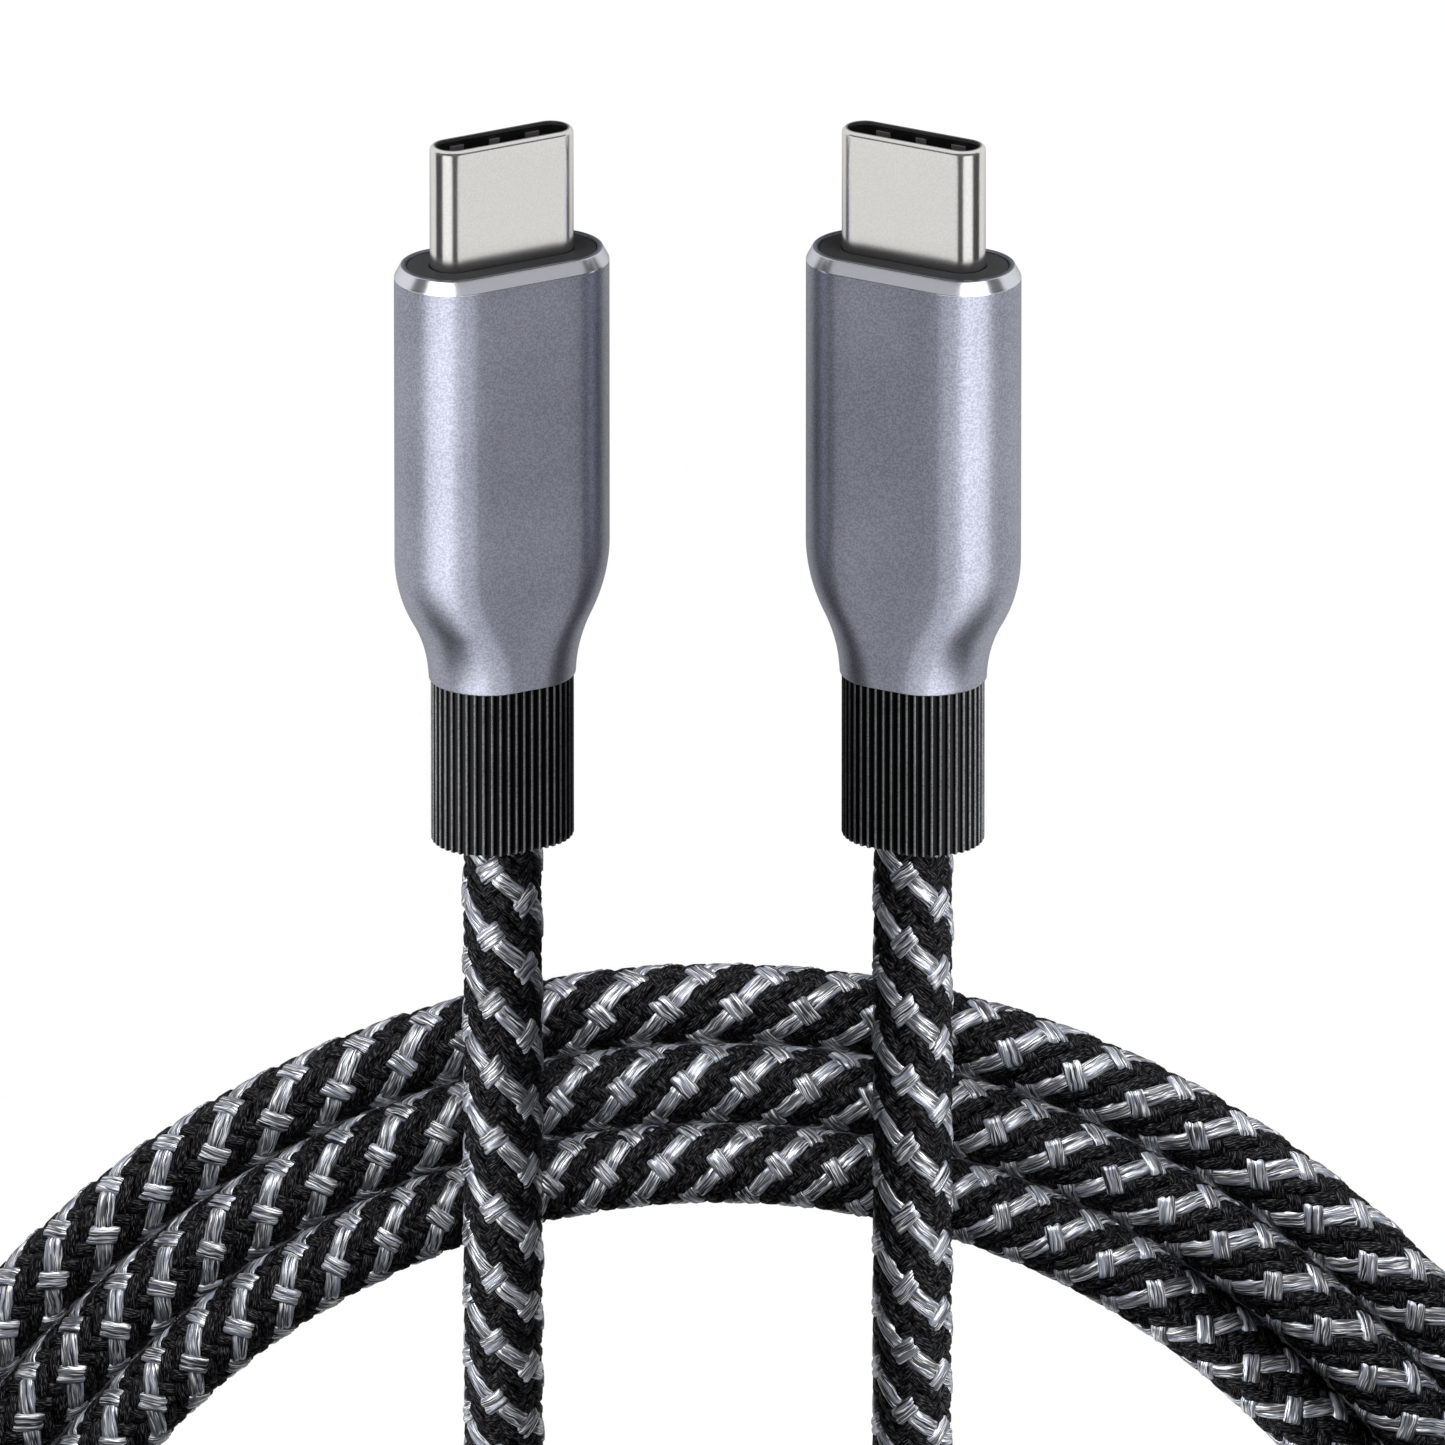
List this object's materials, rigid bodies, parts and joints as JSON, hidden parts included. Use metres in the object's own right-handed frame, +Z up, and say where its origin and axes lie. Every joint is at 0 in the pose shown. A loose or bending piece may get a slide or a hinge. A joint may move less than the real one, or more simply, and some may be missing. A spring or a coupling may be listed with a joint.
{
  "type": "charging cable",
  "caption": "Coiled braided charging cable with an anodised metal plug on each end and ribbed rubber strain reliefs.",
  "frame": {"origin": "on the table, below the middle of the two plugs", "axes": "+Z up from the table, +Y towards the plugs' noses, +X from plug a to plug b"},
  "size_m": [0.0948, 0.1241, 0.0097],
  "materials": {
    "anodised_aluminium": "bead-blasted and anodised blue grey, with a polished chamfer",
    "insert_plastic": "moulded dark grey",
    "nickel_plate": "satin nickel plate",
    "contact_plastic": "moulded black",
    "gold_plate": "gold plated",
    "spring_steel": "rolled",
    "board_laminate": "green solder mask",
    "chip_plastic": "moulded black",
    "capacitor": "fired ceramic with tinned ends",
    "wire_red": "drawn insulation",
    "wire_black": "drawn insulation",
    "wire_green": "drawn insulation",
    "tinned_steel": "tinned sheet",
    "mould_plastic": "low pressure moulding, milky",
    "relief_rubber": "ribbed, matte black",
    "cord_braid": "black nylon braid with silver-grey glossy strands"
  },
  "bodies": {
    "root": {"housing_a": "anodised_aluminium", "front_insert_a": "insert_plastic", "shell_a": "nickel_plate", "contact_housing_a": "contact_plastic", "upper_contacts_a": "gold_plate", "lower_contacts_a": "gold_plate", "upper_screen_spring_a": "spring_steel", "lower_screen_spring_a": "spring_steel", "latch_spring_a": "spring_steel", "circuit_board_a": "board_laminate", "marker_chip_a": "chip_plastic", "board_components_a": "capacitor", "power_wire_a": "wire_red", "ground_wire_a": "wire_black", "signal_wires_a": "wire_green", "upper_shield_a": "tinned_steel", "lower_shield_a": "tinned_steel", "inner_mould_a": "mould_plastic", "crimp_ring_a": "tinned_steel", "strain_relief_a": "relief_rubber", "cable_end_a": "cord_braid", "housing_b": "anodised_aluminium", "front_insert_b": "insert_plastic", "shell_b": "nickel_plate", "contact_housing_b": "contact_plastic", "upper_contacts_b": "gold_plate", "lower_contacts_b": "gold_plate", "upper_screen_spring_b": "spring_steel", "lower_screen_spring_b": "spring_steel", "latch_spring_b": "spring_steel", "circuit_board_b": "board_laminate", "board_components_b": "capacitor", "power_wire_b": "wire_red", "ground_wire_b": "wire_black", "signal_wires_b": "wire_green", "upper_shield_b": "tinned_steel", "lower_shield_b": "tinned_steel", "inner_mould_b": "mould_plastic", "crimp_ring_b": "tinned_steel", "strain_relief_b": "relief_rubber", "cable_end_b": "cord_braid", "lead_a": "cord_braid", "coil": "cord_braid", "lead_b": "cord_braid"}
  },
  "joints": []
}
